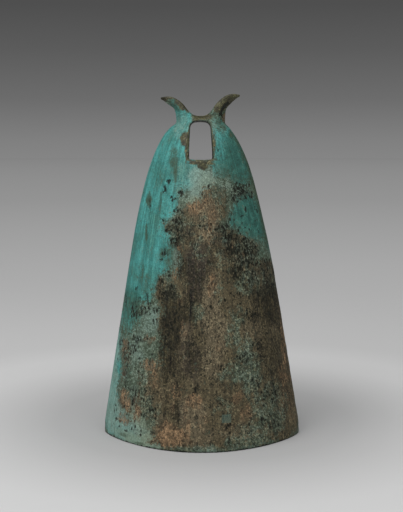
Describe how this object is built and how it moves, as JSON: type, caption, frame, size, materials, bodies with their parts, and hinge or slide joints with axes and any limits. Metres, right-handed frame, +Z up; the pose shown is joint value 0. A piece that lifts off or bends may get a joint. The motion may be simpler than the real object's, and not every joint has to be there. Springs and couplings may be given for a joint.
{
  "type": "horned bell",
  "caption": "Tall cast bronze bell of ridged oval section, open at the mouth, with a window through each face below the crown and curved horns on top; hung by a thong and struck outside.",
  "frame": {"origin": "the middle of the mouth, on the plane that the rim stands on", "axes": "+Z up from the rim to the horns; +X across the wide faces, from the shorter horn to the longer one; -Y out of the face that the picture shows"},
  "size_m": [0.14, 0.106, 0.24],
  "materials": {
    "body_patina": "cast bronze with a turquoise to green patina, dark pits and a brown earthy crust",
    "horn_patina": "cast bronze, worn olive brown at the tips and turquoise at the roots",
    "spacer_patina": "sheet bronze under the same patina, a little greener than the wall round it"
  },
  "bodies": {
    "root": {"bell_wall": "body_patina", "left_horn": "horn_patina", "right_horn": "horn_patina", "spacer_front_lower_left": "spacer_patina", "spacer_front_lower_right": "spacer_patina", "spacer_front_upper_left": "spacer_patina", "spacer_front_upper_right": "spacer_patina", "spacer_back_lower_left": "spacer_patina", "spacer_back_lower_right": "spacer_patina", "spacer_back_upper_left": "spacer_patina", "spacer_back_upper_right": "spacer_patina"}
  },
  "joints": []
}
